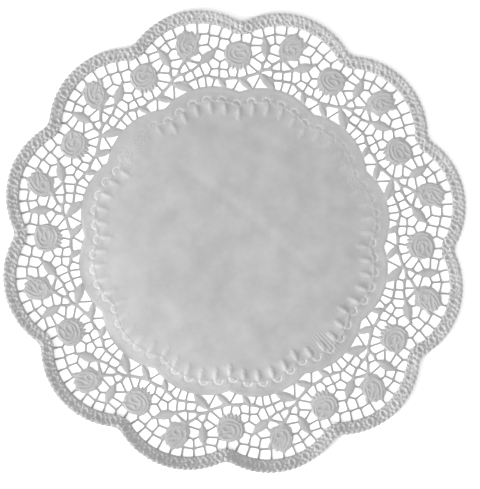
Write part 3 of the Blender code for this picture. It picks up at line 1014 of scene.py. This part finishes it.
class DOILY_OT_doily(bpy.types.Operator):
    """Makes the doily as one thin, closed sheet with its gaps cut and its relief pressed"""
    bl_idname = "doily.doily"
    bl_label = "Doily"
    bl_options = {"REGISTER", "UNDO"}

    def execute(self, context):
        settings = context.scene.doily_settings
        doily = bpy.data.objects.new("doily_sheet", doily_underside(settings))
        context.collection.objects.link(doily)
        bpy.ops.object.select_all(action="DESELECT")
        doily.select_set(True)
        context.view_layer.objects.active = doily
        thicken = doily.modifiers.new("paper", "SOLIDIFY")
        thicken.thickness = settings.thickness
        thicken.offset = 1.0
        bpy.ops.object.modifier_apply(modifier=thicken.name)
        bpy.ops.object.shade_smooth_by_angle(angle=math.radians(SMOOTH_ANGLE))

        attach(doily, "root")
        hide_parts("doily")
        return {"FINISHED"}


def doily_underside(settings):
    """The mesh of the sheet's underside, with its relief, its attributes and its paper."""
    points, gaps, faces = doily_layer()
    lace = lace_height(folded(points))
    heights = relief(points, lace, settings.emboss)
    mesh = bpy.data.meshes.new("doily_sheet")
    mesh.from_pydata((np.column_stack((points, heights)) * MM).tolist(), [], faces)
    share = mesh.attributes.new(SHADE_AND_HIGHLIGHT, "FLOAT", "POINT")
    share.data.foreach_set("value", painted_shade_and_highlight(points, lace, gaps))
    stitches = mesh.attributes.new(STITCHES, "FLOAT_VECTOR", "POINT")
    stitches.data.foreach_set("vector", stitch_places(points, lace).ravel())
    mesh.materials.append(embossed_paper(settings.paper, settings.bars))
    return mesh


class DOILY_OT_stage(bpy.types.Operator):
    """Makes a pale floor, soft studio light from the lower left, and a camera straight above"""
    bl_idname = "doily.stage"
    bl_label = "Stage"
    bl_options = {"REGISTER", "UNDO"}

    def execute(self, context):
        settings = context.scene.doily_settings
        bpy.ops.mesh.primitive_plane_add(size=FLOOR_SIZE, location=(0, 0, -FLOOR_DROP))
        floor = context.active_object
        floor.name = "floor"
        paint = plain_material("matt floor paint", settings.floor, FLOOR_ROUGHNESS)[0]
        floor.data.materials.append(paint)
        soft_light("key", Vector(KEY_PLACE), KEY_SIZE, KEY_WATTS)
        fill_light(context.scene, FILL_STRENGTH)
        overhead_camera(context.scene)
        return {"FINISHED"}


def soft_light(name, place, size, watts):
    """A square soft box that faces the doily."""
    bpy.ops.object.light_add(type="AREA", location=place)
    light = bpy.context.active_object
    light.name = name
    light.rotation_euler = (-place).to_track_quat("-Z", "Y").to_euler()
    light.data.shape = "SQUARE"
    light.data.size = size
    light.data.energy = watts


def fill_light(scene, strength):
    """Even white light from all round."""
    world = bpy.data.worlds.new("soft room")
    world.use_nodes = True
    world.node_tree.nodes["Background"].inputs["Color"].default_value = (1.0, 1.0, 1.0, 1.0)
    world.node_tree.nodes["Background"].inputs["Strength"].default_value = strength
    scene.world = world


def overhead_camera(scene):
    """A long lens straight above, a little off the doily's middle."""
    bpy.ops.object.camera_add(location=CAMERA_PLACE, rotation=(0, 0, 0))
    camera = bpy.context.active_object
    camera.data.sensor_fit = "HORIZONTAL"
    camera.data.sensor_width = SENSOR_WIDTH
    camera.data.lens = SENSOR_WIDTH * CAMERA_PLACE[2] / VIEW_WIDTH
    camera.data.clip_end = VIEW_END
    scene.camera = camera
    scene.view_settings.view_transform = "Standard"


class DOILY_PT_panel(bpy.types.Panel):
    """Lists the doily's sizes and colours and what makes it"""
    bl_idname = "DOILY_PT_panel"
    bl_label = "Doily"
    bl_space_type = "VIEW_3D"
    bl_region_type = "UI"
    bl_category = "Doily"

    def draw(self, context):
        settings = context.scene.doily_settings
        for name in ("thickness", "emboss", "paper", "bars", "floor"):
            self.layout.prop(settings, name)
        self.layout.operator("doily.doily")
        self.layout.operator("doily.stage")


CLASSES = (DoilySettings, DOILY_OT_doily, DOILY_OT_stage, DOILY_PT_panel)


def register():
    for cls in CLASSES:
        bpy.utils.register_class(cls)
    bpy.types.Scene.doily_settings = bpy.props.PointerProperty(type=DoilySettings)


def unregister():
    del bpy.types.Scene.doily_settings
    for cls in reversed(CLASSES):
        bpy.utils.unregister_class(cls)


def main():
    register()
    bpy.ops.object.select_all(action="DESELECT")
    bpy.ops.doily.doily()
    bpy.ops.doily.stage()


if __name__ == "__main__":
    main()
